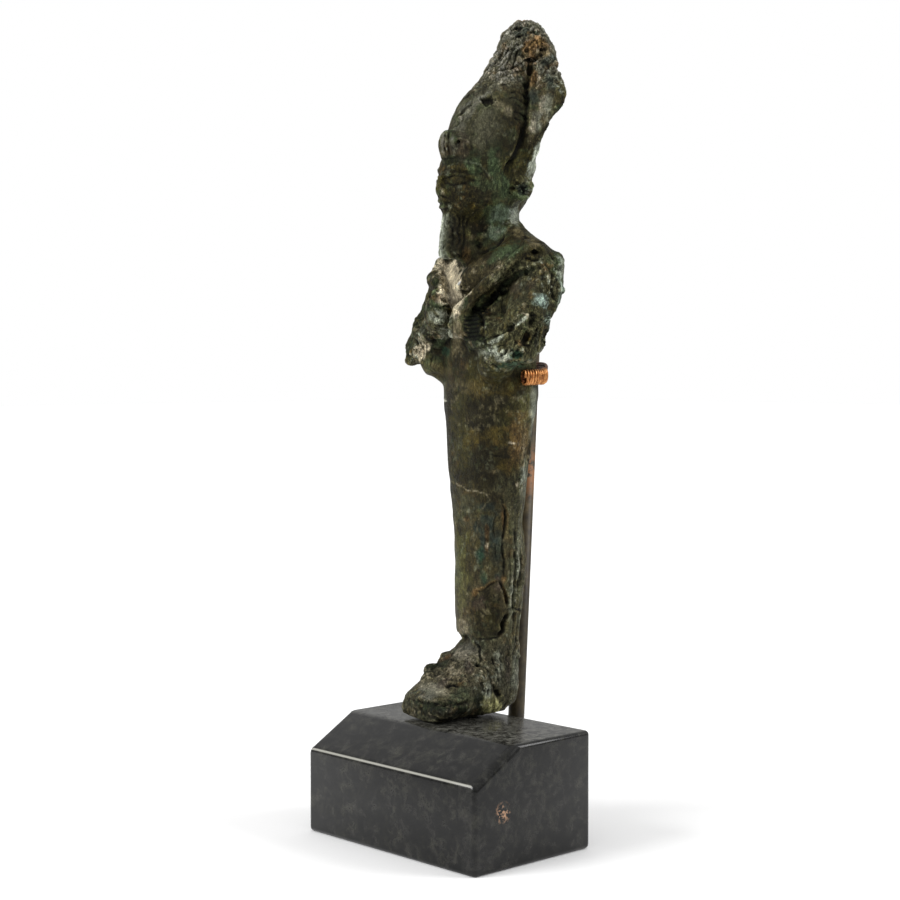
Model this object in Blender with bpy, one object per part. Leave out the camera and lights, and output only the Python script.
"""A corroded bronze figure of Osiris on a polished stone plinth.

The figure stands on the back of the plinth with its heel past the edge. A rod rises behind it
from a hole in the plinth's back face and carries a wire claw that holds the figure by the hips.
Lengths are in metres and +Z is up. The origin is the middle of the plinth's underside. The
figure faces -Y, and its own left hand is on the +X side.
"""

import math

import bmesh
import bpy
from mathutils import Matrix, Vector, noise

# Plinth
PLINTH_WIDTH = 0.058
PLINTH_DEPTH = 0.0376
PLINTH_HEIGHT = 0.0279
CHAMFER_DEPTH = 0.0127
CHAMFER_DROP = 0.0074
PLINTH_EDGE = 0.0007

# Figure
FIGURE_HEIGHT = 0.168
FIGURE_X = -0.0035
FIGURE_Y = 0.0169
FIGURE_YAW = math.radians(-8.0)
CONTACT_GAP = 0.0003

# Rod
ROD_DIAMETER = 0.0041
ROD_SIDE_SHIFT = -0.0031
ROD_FOOT_BACK = 0.0114
ROD_HOLE_HEIGHT = 0.0110
ROD_HOLE_DEPTH = 0.0100
ROD_HOLE_CLEARANCE = 0.0003
ROD_BEND_RADIUS = 0.0050

# Claw of three stacked wires, wound at its tips with finer copper wire
CLAW_HEIGHT = 0.0818
CLAW_TILT = math.radians(2.0)
CLAW_BACK_RISE = 0.0022
CLAW_BACK_SLACK = 0.0012
CLAW_WIRE = 0.00075
CLAW_WIRES = 3
CLAW_BODY_GAP = 0.0003
CLAW_ROD_GAP = 0.0003
CLAW_LEFT_REACH = 0.0012
CLAW_RIGHT_REACH = 0.0034
BINDING_WIRE = 0.0008
BINDING_WALL = 0.0005
BINDING_FIT = 0.0003
LEFT_BINDING_LENGTH = 0.0088
RIGHT_BINDING_LENGTH = 0.0030

# The figure's forms are shares of its height: one unit is a 168th part of it.
UNIT = FIGURE_HEIGHT / 168.0
CAST_VOXEL = 0.6
CAST_TRIANGLES = 6700

# The legs and trunk as sections: height, centre towards the back, half width, half depth.
BODY_SECTIONS = (
    (2.4, 0.6, 7.2, 5.6),
    (8.0, 0.3, 8.0, 6.3),
    (18.0, 0.0, 8.3, 6.6),
    (25.4, 0.2, 8.8, 7.2),
    (36.0, 0.8, 9.5, 7.9),
    (42.5, 0.2, 9.4, 7.3),
    (47.0, 0.0, 9.7, 7.1),
    (58.0, 0.2, 11.2, 7.9),
    (67.8, 0.2, 12.4, 8.3),
    (76.5, 0.8, 13.4, 9.6),
    (84.0, 0.7, 12.8, 9.5),
    (92.0, 0.6, 12.6, 9.0),
    (100.0, 1.0, 13.6, 9.0),
    (107.0, 1.8, 13.8, 8.6),
    (112.0, 2.0, 11.5, 7.2),
    (116.0, 2.0, 7.6, 6.3),
    (120.0, 1.8, 6.2, 6.0),
    (126.0, 1.0, 5.8, 6.0),
)
BODY_POWER = 2.3

# The tall crown as sections: height, centre towards the back, half width, half depth.
CROWN_SECTIONS = (
    (130.5, 0.2, 8.6, 11.6),
    (133.5, 0.2, 9.1, 12.0),
    (138.0, 0.5, 9.4, 11.9),
    (141.5, 0.9, 9.2, 11.1),
    (144.4, 1.1, 8.8, 10.2),
    (148.7, 2.5, 7.9, 8.9),
    (153.0, 5.0, 6.6, 7.0),
    (157.3, 7.6, 5.8, 6.3),
    (161.0, 9.6, 5.2, 6.2),
)

# The plume on each side of the crown: height, reach outwards from its root.
PLUME_SECTIONS = (
    (129.0, 1.0),
    (133.2, 4.4),
    (137.5, 6.0),
    (141.5, 7.2),
    (146.3, 10.0),
    (149.9, 10.5),
    (152.8, 8.8),
    (155.5, 6.0),
    (158.5, 2.2),
)
PLUME_ROOT = (6.2, 3.2)
PLUME_SWEEP = math.radians(35.0)
PLUME_THICKNESS = 2.7

# The foot: distance in front of the ankle's middle, half width, top height.
FOOT_SECTIONS = (
    (21.2, 6.6, 4.2),
    (19.9, 9.2, 6.4),
    (16.8, 9.5, 8.4),
    (13.8, 9.3, 10.8),
    (11.0, 9.1, 13.2),
    (8.0, 8.8, 16.0),
    (4.0, 8.3, 17.3),
    (0.0, 7.8, 16.0),
    (-3.0, 7.0, 9.0),
)

# Both upper arms: half the span, centre towards the back, height, radius.
ARM_SECTIONS = (
    (15.6, 3.2, 107.6, 6.3),
    (17.0, 1.6, 102.4, 6.2),
    (17.8, -1.1, 97.0, 5.6),
    (18.6, -2.8, 92.6, 5.5),
)

# Both elbows, square and flat below: half the span, centre towards the back, height, half width,
# half depth.
ELBOW_SECTIONS = (
    (17.6, -1.4, 96.0, 5.4, 5.8),
    (18.5, -3.8, 90.6, 5.9, 5.6),
    (18.9, -5.0, 87.4, 5.8, 5.2),
    (18.4, -5.2, 85.4, 5.2, 4.6),
)
LEFT_ELBOW_WORN = 1.1


def remove_everything():
    for obj in list(bpy.data.objects):
        bpy.data.objects.remove(obj, do_unlink=True)


def material(name, colour, roughness, metallic):
    made = bpy.data.materials.new(name)
    made.use_nodes = True
    shader = made.node_tree.nodes["Principled BSDF"]
    shader.inputs["Base Color"].default_value = (*colour, 1.0)
    shader.inputs["Roughness"].default_value = roughness
    shader.inputs["Metallic"].default_value = metallic
    return made


def new_object(name, bm, finish=None):
    """Makes an object of the bmesh, with its faces pointing out."""
    bmesh.ops.recalc_face_normals(bm, faces=bm.faces)
    mesh = bpy.data.meshes.new(name)
    bm.to_mesh(mesh)
    bm.free()
    obj = bpy.data.objects.new(name, mesh)
    bpy.context.collection.objects.link(obj)
    if finish:
        mesh.materials.append(finish)
    return obj


def delete_object(obj):
    bpy.data.objects.remove(obj, do_unlink=True)


def evaluated_mesh(obj):
    graph = bpy.context.evaluated_depsgraph_get()
    return bpy.data.meshes.new_from_object(obj.evaluated_get(graph))


def shade_round(obj, angle=math.radians(40.0)):
    obj.data.shade_smooth()
    obj.data.set_sharp_from_angle(angle=angle)


def signed_power(value, power):
    return math.copysign(abs(value) ** power, value)


def oval(centre, half_width, half_depth, count, power=2.0, turn=0.0):
    """A level ring of points. A power above 2 squares it up, and turn swings it about +Z."""
    points = []
    for i in range(count):
        angle = 2.0 * math.pi * i / count
        x = half_width * signed_power(math.cos(angle), 2.0 / power)
        y = half_depth * signed_power(math.sin(angle), 2.0 / power)
        points.append(Vector(centre) + Matrix.Rotation(turn, 3, "Z") @ Vector((x, y, 0.0)))
    return points


def add_loft(bm, rings, closed=False):
    """Joins rings of equal count with quads. An open loft gets a cap at each end."""
    rows = [[bm.verts.new(point) for point in ring] for ring in rings]
    count = len(rows[0])
    pairs = list(zip(rows, rows[1:]))
    if closed:
        pairs.append((rows[-1], rows[0]))
    for lower, upper in pairs:
        for i in range(count):
            j = (i + 1) % count
            bm.faces.new((lower[i], lower[j], upper[j], upper[i]))
    if not closed:
        bm.faces.new(rows[0][::-1])
        bm.faces.new(rows[-1])


def add_ball(bm, centre, radii, turn=(0.0, 0.0, 0.0)):
    """An ellipsoid. turn is its rotation about X, Y and Z in degrees."""
    spin = Matrix.Identity(4)
    for axis, angle in zip("XYZ", turn):
        spin = Matrix.Rotation(math.radians(angle), 4, axis) @ spin
    place = Matrix.Translation(centre) @ spin @ Matrix.Diagonal((*radii, 1.0))
    bmesh.ops.create_icosphere(bm, subdivisions=3, radius=1.0, matrix=place)


def add_box(bm, centre, size, spin):
    place = Matrix.Translation(centre) @ spin @ Matrix.Diagonal((*size, 1.0))
    bmesh.ops.create_cube(bm, size=1.0, matrix=place)


def smooth_values(rows, steps):
    """Passes a smooth curve through rows of numbers, with this many steps between each pair."""
    out = []
    for i in range(len(rows) - 1):
        before = rows[max(i - 1, 0)]
        after = rows[min(i + 2, len(rows) - 1)]
        for k in range(steps):
            t = k / steps
            out.append(tuple(
                0.5 * (2 * b + (c - a) * t + (2 * a - 5 * b + 4 * c - d) * t * t
                       + (3 * b - a - 3 * c + d) * t ** 3)
                for a, b, c, d in zip(before, rows[i], rows[i + 1], after)
            ))
    out.append(tuple(rows[-1]))
    return out


def tube_rings(points, radii, count):
    """Round rings square to a path."""
    rings = []
    side = None
    for i, point in enumerate(points):
        ahead = (points[min(i + 1, len(points) - 1)] - points[max(i - 1, 0)]).normalized()
        if side is None:
            side = ahead.orthogonal().normalized()
        side = (side - ahead * side.dot(ahead)).normalized()
        other = ahead.cross(side)
        rings.append([
            point + radii[i] * (math.cos(a) * side + math.sin(a) * other)
            for a in (2.0 * math.pi * k / count for k in range(count))
        ])
    return rings


def add_limb(bm, stations, count=16, steps=4):
    """A round-ended tube through stations of x, y, z and radius."""
    rows = smooth_values(stations, steps)
    points = [Vector(row[:3]) for row in rows]
    radii = [row[3] for row in rows]
    add_loft(bm, tube_rings(points, radii, count))
    for row in (stations[0], stations[-1]):
        add_ball(bm, row[:3], (row[3],) * 3)


def body_section(height):
    """The trunk's centre, half width and half depth at a height, in figure units."""
    rows = BODY_SECTIONS
    for low, high in zip(rows, rows[1:]):
        if height <= high[0]:
            t = (height - low[0]) / (high[0] - low[0])
            t = t * t * (3.0 - 2.0 * t)
            return [a + (b - a) * t for a, b in zip(low, high)][1:]
    return list(rows[-1][1:])


def crown_centre(height):
    rows = CROWN_SECTIONS
    for low, high in zip(rows, rows[1:]):
        if height <= high[0]:
            t = max(0.0, (height - low[0]) / (high[0] - low[0]))
            return low[1] + (high[1] - low[1]) * t
    return rows[-1][1]


def add_body(bm):
    rows = smooth_values(BODY_SECTIONS, 3)
    add_loft(bm, [oval((0.0, y, z), a, b, 40, BODY_POWER) for z, y, a, b in rows])


def add_arms(bm):
    for side in (-1.0, 1.0):
        add_limb(bm, [(side * x, y, z, r) for x, y, z, r in ARM_SECTIONS])
        slope = ((side * 3.0, 2.0, 119.5, 3.4), (side * 8.0, 2.2, 114.4, 4.0),
                 (side * 13.5, 2.8, 110.6, 4.4))
        add_limb(bm, slope)
        worn = LEFT_ELBOW_WORN if side > 0.0 else 0.0
        add_loft(bm, [oval((side * (x - worn), y, z), a, b, 20, 2.5)
                      for x, y, z, a, b in ELBOW_SECTIONS])
        # The cloth under the forearm draws in to the hips.
        under = ((side * 16.2, -6.2, 89.0, 4.4), (side * 11.4, -6.4, 85.0, 4.4))
        add_limb(bm, under)
        # The shroud closes the back between arm and trunk.
        shroud = ((side * 9.0, 3.6, 110.4, 4.6), (side * 11.6, 3.9, 104.0, 5.6),
                  (side * 12.2, 2.8, 92.0, 5.4))
        add_limb(bm, shroud)
    right_forearm = ((-18.0, -4.6, 90.6, 4.8), (-13.5, -6.2, 91.2, 5.0), (-8.5, -7.8, 93.6, 4.4),
                     (-4.8, -9.6, 96.0, 3.4))
    left_forearm = ((18.0, -4.6, 90.4, 4.8), (13.5, -5.8, 90.6, 5.2), (9.0, -6.8, 92.0, 4.6),
                    (5.5, -8.0, 93.8, 3.4))
    add_limb(bm, right_forearm)
    add_limb(bm, left_forearm)


def add_hands(bm):
    add_ball(bm, (-4.4, -12.0, 97.2), (3.6, 3.0, 4.4), (0.0, 12.0, 0.0))
    add_ball(bm, (-2.6, -12.6, 101.4), (2.0, 2.0, 2.0))
    left = Vector((4.5, -10.2, 94.4))
    add_ball(bm, left, (2.2, 2.0, 3.8))
    for k in range(5):
        z = left.z + 2.7 - 1.35 * k
        add_limb(bm, ((left.x - 2.3, left.y - 1.5, z, 0.72), (left.x, left.y - 2.3, z, 0.78),
                      (left.x + 2.2, left.y - 1.2, z, 0.72)), 8, 2)
    add_limb(bm, ((5.2, -10.6, 98.4, 1.0), (7.2, -9.6, 98.9, 0.9)), 8, 2)


def add_crook(bm):
    shaft = ((0.8, -11.4, 92.0, 1.1), (1.5, -10.9, 97.0, 1.15), (4.6, -10.0, 99.6, 1.25),
             (8.2, -8.8, 102.3, 1.3), (13.4, -5.6, 107.2, 1.35), (17.2, -3.0, 111.2, 1.3))
    add_limb(bm, shaft, 10)
    # The raised chest above the shaft.
    add_limb(bm, ((-1.0, -6.2, 103.4, 3.2), (5.6, -5.2, 107.0, 3.6), (11.6, -1.6, 110.6, 3.4)), 12)
    hook = []
    for k in range(13):
        angle = math.radians(-160.0 + 27.0 * k)
        hook.append((18.5 + 2.3 * math.cos(angle), 0.2 + 2.3 * math.sin(angle),
                     113.2 - 0.32 * (2.3 * math.cos(angle)), 0.95))
    add_limb(bm, hook, 8, 1)


def add_flail(bm):
    add_limb(bm, ((-3.4, -11.8, 100.0, 1.3), (-7.0, -9.6, 103.0, 1.5), (-11.4, -6.8, 106.6, 1.7),
                  (-14.6, -3.6, 110.4, 1.6)), 10)
    lumps = ((-11.8, -7.6, 105.2, 2.2), (-13.2, -6.6, 101.6, 2.0), (-9.6, -8.8, 104.2, 1.7),
             (-14.8, -6.0, 97.6, 1.9), (-15.4, -7.4, 93.4, 2.0))
    for x, y, z, r in lumps:
        add_ball(bm, (x, y, z), (r, r, r * 1.15))


def add_head(bm):
    add_ball(bm, (0.0, -0.2, 128.2), (8.3, 11.3, 9.6))
    # A plain oval face on even proportions: cheeks, chin, nose, lips and lids.
    add_ball(bm, (0.0, -5.9, 126.4), (7.0, 7.6, 7.6))
    add_ball(bm, (0.0, -10.3, 120.9), (2.7, 2.6, 2.2))
    add_limb(bm, ((0.0, -12.4, 131.2, 0.8), (0.0, -13.6, 128.6, 1.0), (0.0, -14.3, 126.4, 1.3)), 8, 2)
    add_ball(bm, (0.0, -13.0, 123.7), (2.3, 1.3, 0.8))
    add_ball(bm, (0.0, -12.7, 122.4), (2.0, 1.3, 0.8))
    for side in (-1.0, 1.0):
        add_ball(bm, (side * 3.5, -11.4, 129.0), (1.9, 1.3, 0.9))
        add_limb(bm, ((side * 0.9, -12.9, 131.0, 0.6), (side * 3.4, -11.8, 131.8, 0.7),
                      (side * 6.2, -9.2, 131.2, 0.6)), 8, 2)
        ear = (side * 9.0, 3.8, 126.8)
        add_ball(bm, ear, (1.7, 2.8, 3.2), (12.0, 0.0, side * 18.0))


def add_beard(bm):
    rows = smooth_values(((121.6, -10.4, 2.1, 2.1), (117.0, -10.9, 2.5, 2.5),
                          (110.2, -11.3, 3.0, 2.8)), 4)
    add_loft(bm, [oval((0.0, y, z), a, b, 16, 2.8) for z, y, a, b in rows])
    add_limb(bm, ((0.0, -5.8, 121.0, 2.8), (0.0, -6.6, 112.0, 3.0)))


def add_crown(bm):
    rows = smooth_values(CROWN_SECTIONS, 3)
    add_loft(bm, [oval((0.0, y, z), a, b, 36) for z, y, a, b in rows])
    add_ball(bm, (0.9, 10.2, 161.6), (6.4, 6.6, 7.1), (-14.0, 0.0, 0.0))
    add_ball(bm, (1.0, 11.6, 164.4), (4.8, 4.6, 4.0))
    # Crusted lumps on the crown's broken top.
    for x, y, z, r in ((5.6, 11.8, 160.6, 3.8), (6.4, 11.4, 157.4, 3.4), (2.0, 12.6, 164.4, 3.0)):
        add_ball(bm, (x, y, z), (r, r, r))
    # The brow band.
    band = []
    for k in range(33):
        angle = 2.0 * math.pi * k / 32
        band.append((9.0 * math.sin(angle), 0.2 - 11.9 * math.cos(angle),
                     133.0 + 0.6 * math.cos(angle), 0.7))
    add_limb(bm, band, 8, 1)


def add_uraeus(bm):
    add_limb(bm, ((0.0, -12.0, 134.4, 1.7), (0.0, -12.5, 137.0, 2.1), (0.0, -11.9, 139.2, 1.9)), 12)
    loop = []
    for k in range(13):
        angle = 2.0 * math.pi * k / 12
        loop.append((3.6 + 1.5 * math.cos(angle), -11.3 + 0.5 * math.cos(angle),
                     136.6 + 1.7 * math.sin(angle), 0.8))
    add_limb(bm, loop, 8, 1)


def add_plumes(bm):
    rows = smooth_values(PLUME_SECTIONS, 3)
    for side in (-1.0, 1.0):
        turn = side * PLUME_SWEEP
        outward = Vector((side * math.cos(PLUME_SWEEP), math.sin(PLUME_SWEEP), 0.0))
        rings = []
        for z, reach in rows:
            root = Vector((side * PLUME_ROOT[0], crown_centre(z) + PLUME_ROOT[1], z))
            buried = 4.0
            half = 0.5 * (reach + buried)
            middle = root + outward * (0.5 * (reach - buried))
            rings.append(oval(middle, half, 0.5 * PLUME_THICKNESS, 24, 3.0, turn))
        add_loft(bm, rings)


def add_foot(bm):
    rings = []
    for front, half_width, top in smooth_values(FOOT_SECTIONS, 3):
        ring = []
        for k in range(24):
            angle = 2.0 * math.pi * k / 24
            x = half_width * signed_power(math.cos(angle), 2.0 / 2.8)
            rise = signed_power(math.sin(angle), 2.0 / 2.6)
            z = 0.5 * top + 0.5 * top * rise
            narrow = 1.0 - 0.30 * max(0.0, rise)
            ring.append(Vector((x * narrow, -front, z)))
        rings.append(ring)
    add_loft(bm, rings)
    lumps = ((-6.4, -12.4, 10.4, 2.2), (-5.0, -9.0, 13.2, 2.2), (-3.6, -14.8, 9.0, 2.0),
             (-2.0, -17.6, 5.6, 2.4))
    for x, y, z, r in lumps:
        add_ball(bm, (x, y, z), (r, r, r * 0.8))


def add_losses(bm):
    """What has broken away: a nick through the ankle, the hollow left elbow and worn gaps."""
    across = Matrix.Rotation(math.radians(-35.2), 4, "Z")
    away = Vector((-0.576, -0.817, 0.0))
    add_box(bm, away * 12.2 + Vector((0.0, 0.0, 18.2)), (30.0, 16.0, 1.7), across)
    add_ball(bm, (21.6, 0.6, 90.6), (3.4, 3.4, 5.4), (0.0, 10.0, 0.0))
    add_ball(bm, (12.6, -9.4, 100.4), (2.2, 3.0, 4.6), (0.0, 48.0, 0.0))
    # The hollow in the ear and the open loop of the crook.
    add_ball(bm, (11.2, 3.4, 126.6), (1.2, 1.5, 1.9))
    add_ball(bm, (18.6, 0.0, 114.9), (1.2, 1.2, 2.0))
    # A flat bed under the foot, and the broken underside of the heel.
    add_box(bm, (0.0, 0.0, -2.0), (60.0, 60.0, 4.0), Matrix.Identity(4))
    add_box(bm, (0.0, 7.0, 0.6), (30.0, 9.0, 4.4), Matrix.Rotation(math.radians(9.0), 4, "X"))


def weather(bm):
    """Moves the skin in and out as corrosion has done, most of all on the crown's top."""
    bm.normal_update()
    moves = []
    for vert in bm.verts:
        point = vert.co
        rough = 0.16
        if point.z > 150.0:
            rough += 0.45 * min(1.0, (point.z - 150.0) / 10.0)
        if 84.0 < point.z < 112.0:
            rough += 0.28 * min(1.0, abs(point.x) / 16.0)
        if point.z < 17.0:
            rough += 0.18
        coarse = noise.noise(point * 0.22 + Vector((3.1, 7.7, 1.3)))
        fine = noise.noise(point * 0.55 + Vector((11.0, 2.0, 5.0)))
        moves.append(vert.normal * rough * (1.4 * coarse + 1.1 * fine))
    for vert, move in zip(bm.verts, moves):
        vert.co += move


def keep_largest_body(bm):
    """Deletes every loose crumb and leaves the one big body."""
    left = set(bm.verts)
    bodies = []
    while left:
        body = set()
        edge = [left.pop()]
        while edge:
            vert = edge.pop()
            body.add(vert)
            for link in vert.link_edges:
                other = link.other_vert(vert)
                if other in left:
                    left.discard(other)
                    edge.append(other)
        bodies.append(body)
    bodies.sort(key=len, reverse=True)
    for body in bodies[1:]:
        bmesh.ops.delete(bm, geom=list(body), context="VERTS")


def cast_figure(finish):
    """The figure as one casting, built in figure units and then brought to size."""
    bm = bmesh.new()
    for add in (add_body, add_arms, add_hands, add_crook, add_flail, add_head, add_beard,
                add_crown, add_uraeus, add_plumes, add_foot):
        add(bm)
    forms = new_object("forms", bm)
    remesh = forms.modifiers.new("join", "REMESH")
    remesh.mode = "VOXEL"
    remesh.voxel_size = CAST_VOXEL
    relax = forms.modifiers.new("relax", "SMOOTH")
    relax.factor = 0.5
    relax.iterations = 2

    bm = bmesh.new()
    add_losses(bm)
    cutters = new_object("losses", bm)
    blend = cutters.modifiers.new("join", "REMESH")
    blend.mode = "VOXEL"
    blend.voxel_size = CAST_VOXEL * 0.6
    cutters.hide_render = True
    cutters.display_type = "WIRE"
    cut = forms.modifiers.new("losses", "BOOLEAN")
    cut.operation = "DIFFERENCE"
    cut.solver = "EXACT"
    cut.object = cutters

    bm = bmesh.new()
    joined = evaluated_mesh(forms)
    bm.from_mesh(joined)
    weather(bm)
    keep_largest_body(bm)
    delete_object(forms)
    delete_object(cutters)
    bpy.data.meshes.remove(joined)

    worn = new_object("worn", bm)
    remesh = worn.modifiers.new("skin", "REMESH")
    remesh.mode = "VOXEL"
    remesh.voxel_size = CAST_VOXEL
    graph = bpy.context.evaluated_depsgraph_get()
    skin_triangles = 2 * len(worn.evaluated_get(graph).data.polygons)
    thin = worn.modifiers.new("thin", "DECIMATE")
    thin.ratio = min(1.0, CAST_TRIANGLES / skin_triangles)
    bm = bmesh.new()
    thinned = evaluated_mesh(worn)
    bm.from_mesh(thinned)
    delete_object(worn)
    bpy.data.meshes.remove(thinned)
    keep_largest_body(bm)
    bmesh.ops.triangulate(bm, faces=bm.faces)
    bmesh.ops.scale(bm, vec=(UNIT,) * 3, verts=bm.verts)
    figure = new_object("osiris_figure", bm, finish)
    shade_round(figure)
    return figure


def make_plinth(finish, hole):
    """The stone block with its long front chamfer and the rod's hole in its back face."""
    half = 0.5 * PLINTH_DEPTH
    top = PLINTH_HEIGHT
    outline = ((-half, 0.0), (half, 0.0), (half, top), (-half + CHAMFER_DEPTH, top),
               (-half, top - CHAMFER_DROP))
    bm = bmesh.new()
    ends = [[bm.verts.new((side * 0.5 * PLINTH_WIDTH, y, z)) for y, z in outline] for side in (-1, 1)]
    for i in range(len(outline)):
        j = (i + 1) % len(outline)
        bm.faces.new((ends[0][i], ends[0][j], ends[1][j], ends[1][i]))
    bm.faces.new(ends[0])
    bm.faces.new(ends[1])
    plinth = new_object("plinth", bm, finish)
    soften = plinth.modifiers.new("edges", "BEVEL")
    soften.width = PLINTH_EDGE
    soften.segments = 2
    soften.limit_method = "ANGLE"
    soften.angle_limit = math.radians(20.0)
    drill = plinth.modifiers.new("rod hole", "BOOLEAN")
    drill.operation = "DIFFERENCE"
    drill.solver = "EXACT"
    drill.object = hole
    return plinth


def figure_matrix():
    place = Matrix.Translation((FIGURE_X, FIGURE_Y, PLINTH_HEIGHT + CONTACT_GAP))
    return place @ Matrix.Rotation(FIGURE_YAW, 4, "Z")


def held_section(height):
    """What the claw goes round: the trunk, and from the elbows' underside up the arms with it."""
    centre, half_width, half_depth = body_section(height)
    lowest = min(section[2] for section in ELBOW_SECTIONS)
    headroom = (0.5 * CLAW_WIRE * CLAW_WIRES + BINDING_FIT + BINDING_WALL + CLAW_BODY_GAP) / UNIT
    if height + headroom > lowest:
        half_width = max(half_width, max(x + a for x, y, z, a, b in ELBOW_SECTIONS))
        half_depth = max(half_depth, max(y + r for x, y, z, r in ARM_SECTIONS) - centre)
    return centre, half_width, half_depth


def claw_offset():
    """From the figure's skin to the middle of the claw's wires."""
    return CLAW_BODY_GAP + BINDING_WALL + BINDING_FIT + 0.5 * CLAW_WIRE


def claw_path(steps=72):
    """The claw's middle line: round the hips from the left tip, behind the back, to the right tip."""
    centre, half_width, half_depth = (UNIT * v for v in held_section(CLAW_HEIGHT / UNIT))
    a = half_width + claw_offset()
    b = half_depth + claw_offset() + CLAW_BACK_SLACK
    left, right = (math.asin(min(1.0, (reach / b) ** (BODY_POWER / 2.0)))
                   for reach in (CLAW_LEFT_REACH, CLAW_RIGHT_REACH))
    points = []
    for k in range(steps + 1):
        angle = -left + (math.pi + left + right) * k / steps
        x = a * signed_power(math.cos(angle), 2.0 / BODY_POWER)
        y = centre + b * signed_power(math.sin(angle), 2.0 / BODY_POWER)
        behind = max(0.0, (y - centre - 0.45 * b) / (0.55 * b))
        z = CLAW_HEIGHT + (y - centre) * math.tan(CLAW_TILT)
        z += CLAW_BACK_RISE * behind * behind * (3.0 - 2.0 * behind)
        points.append(Vector((x, y, z)))
    return even_points(points, steps)


def even_points(points, steps):
    """The same line with its points at even distances."""
    lengths = [0.0]
    for a, b in zip(points, points[1:]):
        lengths.append(lengths[-1] + (b - a).length)
    out = []
    i = 0
    for k in range(steps + 1):
        wanted = lengths[-1] * k / steps
        while i < len(points) - 2 and lengths[i + 1] < wanted:
            i += 1
        t = (wanted - lengths[i]) / (lengths[i + 1] - lengths[i])
        out.append(points[i].lerp(points[i + 1], t))
    return out


def path_length(points):
    return sum((b - a).length for a, b in zip(points, points[1:]))


def frames_along(points):
    """At each point, the direction across the wires outwards and the direction up the stack."""
    out = []
    for i in range(len(points)):
        ahead = (points[min(i + 1, len(points) - 1)] - points[max(i - 1, 0)]).normalized()
        outwards = ahead.cross(Vector((0.0, 0.0, 1.0))).normalized()
        out.append((outwards, outwards.cross(ahead).normalized()))
    return out


def stack_outline(wire, count, per_wire):
    """The outline of a stack of round wires, each sunk a little into the next, as one shape."""
    pitch = wire * 0.96
    waist = math.asin(0.5 * pitch / (0.5 * wire)) * 0.92
    outline = []
    for side in (1.0, -1.0):
        for i in range(count):
            row = (i - 0.5 * (count - 1)) * pitch * side
            low = -waist if i > 0 else -0.5 * math.pi
            high = waist if i < count - 1 else 0.5 * math.pi
            for k in range(per_wire):
                angle = low + (high - low) * (k + 0.5) / per_wire
                outline.append((side * 0.5 * wire * math.cos(angle),
                                row + side * 0.5 * wire * math.sin(angle)))
    return outline


def rings_on(points, outline_at):
    frames = frames_along(points)
    rings = []
    for i, (point, (outwards, up)) in enumerate(zip(points, frames)):
        rings.append([point + outwards * u + up * v for u, v in outline_at(i)])
    return rings


def make_claw(finish, points):
    outline = stack_outline(CLAW_WIRE, CLAW_WIRES, 3)
    bm = bmesh.new()
    add_loft(bm, rings_on(points[::2], lambda i: outline))
    claw = new_object("claw_wires", bm, finish)
    shade_round(claw, math.radians(70.0))
    return claw


def rounded_oval(half_width, half_height, count):
    outline = []
    for k in range(count):
        angle = 2.0 * math.pi * k / count
        outline.append((half_width * signed_power(math.cos(angle), 0.8),
                        half_height * signed_power(math.sin(angle), 0.8)))
    return outline


def make_binding(name, finish, points, length):
    """A sleeve of fine wire wound round the claw's tip, one ridge to a turn."""
    whole = path_length(points)
    start = BINDING_FIT / whole
    inner_half = (0.5 * CLAW_WIRE + BINDING_FIT,
                  0.5 * CLAW_WIRE * (1.0 + (CLAW_WIRES - 1) * 0.96) + BINDING_FIT)
    turns = max(2, round(length / BINDING_WIRE))
    steps = 2 * turns
    fine = even_points(points, 400)
    span = [fine[round(400 * (start + length / whole * k / steps))] for k in range(steps + 1)]
    count = 12
    bm = bmesh.new()

    def outer(i):
        wall = BINDING_WALL if i % 2 else BINDING_WALL * 0.62
        return rounded_oval(inner_half[0] + wall, inner_half[1] + wall, count)

    shell = rings_on(span, outer)
    lining = rings_on(span, lambda i: rounded_oval(*inner_half, count))[::-2]
    add_loft(bm, shell + lining, closed=True)
    binding = new_object(name, bm, finish)
    shade_round(binding, math.radians(60.0))
    return binding


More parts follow.
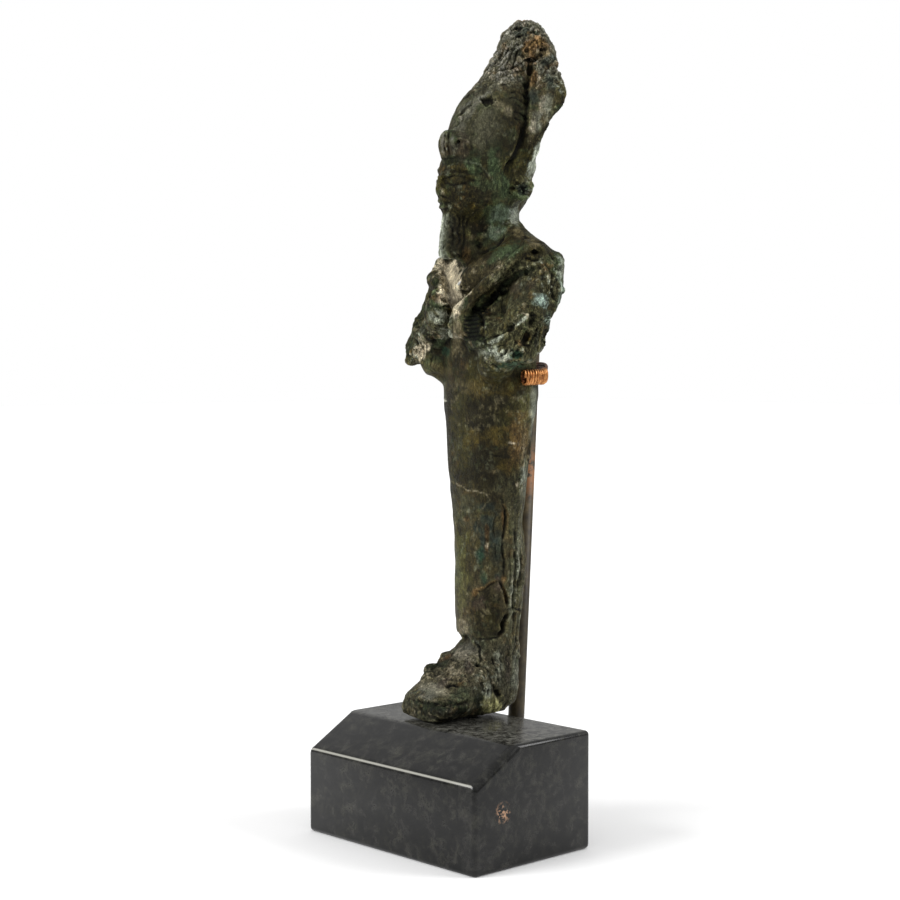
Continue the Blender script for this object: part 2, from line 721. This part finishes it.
def rod_path():
    """From inside the plinth's back face, back and up behind the figure to the claw, in metres."""
    points = claw_path()
    back = max(points, key=lambda p: p.y)
    reach = back.y + 0.5 * CLAW_WIRE + CLAW_ROD_GAP + 0.5 * ROD_DIAMETER
    into_world = figure_matrix()
    head_height = back.z + 1.6 * CLAW_WIRE * CLAW_WIRES
    crossing = into_world @ Vector((ROD_SIDE_SHIFT, reach, back.z))
    foot = into_world @ Vector((ROD_SIDE_SHIFT, ROD_FOOT_BACK, 0.0))
    run = (crossing - foot) / (crossing.z - foot.z)
    head = crossing + run * (head_height - back.z)
    corner = foot + run * (ROD_HOLE_HEIGHT - foot.z)
    inner_end = Vector((corner.x, 0.5 * PLINTH_DEPTH - ROD_HOLE_DEPTH, ROD_HOLE_HEIGHT))
    up = (head - corner).normalized()
    level = (inner_end - corner).normalized()
    start = corner + level * ROD_BEND_RADIUS
    finish = corner + up * ROD_BEND_RADIUS
    path = [inner_end]
    for k in range(9):
        t = k / 8
        path.append(start.lerp(corner, t).lerp(corner.lerp(finish, t), t))
    path += [corner.lerp(head, s) for s in (0.3, 0.65)] + [head]
    return path


def make_rod(finish, path):
    bm = bmesh.new()
    add_loft(bm, tube_rings(path, [0.5 * ROD_DIAMETER] * len(path), 20))
    rod = new_object("mount_rod", bm, finish)
    shade_round(rod, math.radians(50.0))
    return rod


def make_rod_hole(path):
    """The cutter for the rod's hole, clear of the rod on every side and past its inner end."""
    radius = 0.5 * ROD_DIAMETER + ROD_HOLE_CLEARANCE
    inner = path[0]
    bm = bmesh.new()
    ends = (inner.y - ROD_HOLE_CLEARANCE, 0.5 * PLINTH_DEPTH + 0.002)
    add_loft(bm, [[Vector((inner.x + radius * math.cos(a), y, inner.z + radius * math.sin(a)))
                   for a in (2.0 * math.pi * k / 24 for k in range(24))] for y in ends])
    hole = new_object("rod_hole", bm)
    hole.hide_render = True
    hole.display_type = "WIRE"
    return hole


def main():
    remove_everything()
    stone = material("polished dark stone", (0.030, 0.031, 0.029), 0.35, 0.0)
    bronze = material("corroded bronze", (0.085, 0.080, 0.055), 0.62, 0.6)
    brass = material("browned brass rod", (0.150, 0.095, 0.055), 0.45, 0.8)
    wire = material("brown claw wire", (0.300, 0.130, 0.060), 0.45, 0.8)
    copper = material("bright copper wire", (0.600, 0.290, 0.150), 0.35, 0.9)

    path = rod_path()
    make_plinth(stone, make_rod_hole(path))
    make_rod(brass, path)

    place = bpy.data.objects.new("figure place", None)
    place.matrix_world = figure_matrix()
    bpy.context.collection.objects.link(place)
    tips = claw_path()
    for piece in (
        cast_figure(bronze),
        make_claw(wire, tips),
        make_binding("binding_left", copper, tips, LEFT_BINDING_LENGTH),
        make_binding("binding_right", copper, tips[::-1], RIGHT_BINDING_LENGTH),
    ):
        piece.parent = place


main()
